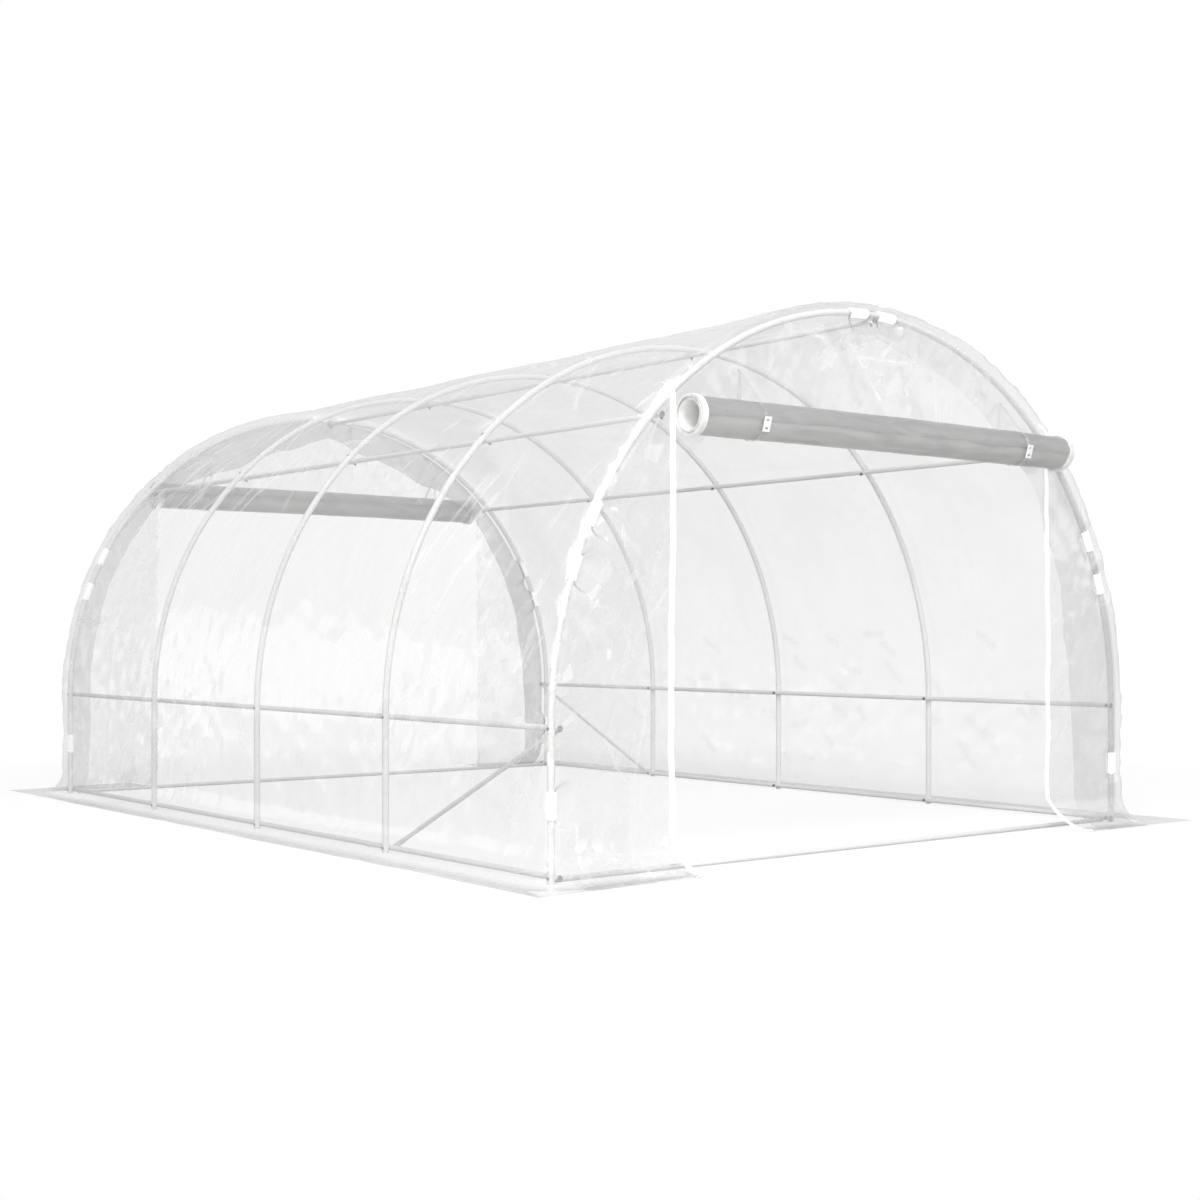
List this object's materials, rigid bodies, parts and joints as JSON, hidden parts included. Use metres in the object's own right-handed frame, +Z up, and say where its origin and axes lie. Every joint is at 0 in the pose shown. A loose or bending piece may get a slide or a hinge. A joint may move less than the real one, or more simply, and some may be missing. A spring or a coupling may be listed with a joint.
{
  "type": "polytunnel greenhouse",
  "caption": "Walk-in polytunnel with a half-round tubular steel frame, clear film cover turned out over the ground, and a zipped roll-up film door at each end.",
  "frame": {"origin": "ground level at the middle of the footprint", "axes": "+Z up, Y along the ridge with the front end at -Y, X across"},
  "size_m": [3.45, 4.534, 1.9869],
  "materials": {
    "hoop_tube": "satin white powder coat",
    "rail_tube": "satin white powder coat",
    "rail_cap": "grey plastic plug",
    "clip": "white ribbed plastic",
    "zip": "white zip tape and teeth",
    "strap": "white webbing with plastic buckle",
    "rolled_film": "many layers of clear film, greyish",
    "film": "clear polyethylene film, creased"
  },
  "bodies": {
    "root": {"base_rail_left": "rail_tube", "base_rail_right": "rail_tube", "brace_left": "rail_tube", "brace_right": "rail_tube", "cover_roof": "film", "cover_side_left": "film", "cover_side_right": "film", "cover_skirt_left": "film", "cover_skirt_right": "film", "front_cover_hem": "film", "front_door_roll": "rolled_film", "front_door_ties": "strap", "front_film_clips": "clip", "front_rail_caps": "rail_cap", "front_sill_rail": "rail_tube", "front_wall_head": "film", "front_wall_left": "film", "front_wall_right": "film", "front_zips": "zip", "hoop_1_arch": "hoop_tube", "hoop_1_legs": "hoop_tube", "hoop_2_arch": "hoop_tube", "hoop_2_legs": "hoop_tube", "hoop_3_arch": "hoop_tube", "hoop_3_legs": "hoop_tube", "hoop_4_arch": "hoop_tube", "hoop_4_legs": "hoop_tube", "hoop_5_arch": "hoop_tube", "hoop_5_legs": "hoop_tube", "knee_rail_left": "rail_tube", "knee_rail_right": "rail_tube", "rear_cover_hem": "film", "rear_door_roll": "rolled_film", "rear_door_ties": "strap", "rear_film_clips": "clip", "rear_rail_caps": "rail_cap", "rear_sill_rail": "rail_tube", "rear_wall_head": "film", "rear_wall_left": "film", "rear_wall_right": "film", "rear_zips": "zip", "ridge_rail": "rail_tube", "shoulder_rail_left": "rail_tube", "shoulder_rail_right": "rail_tube"}
  },
  "joints": []
}
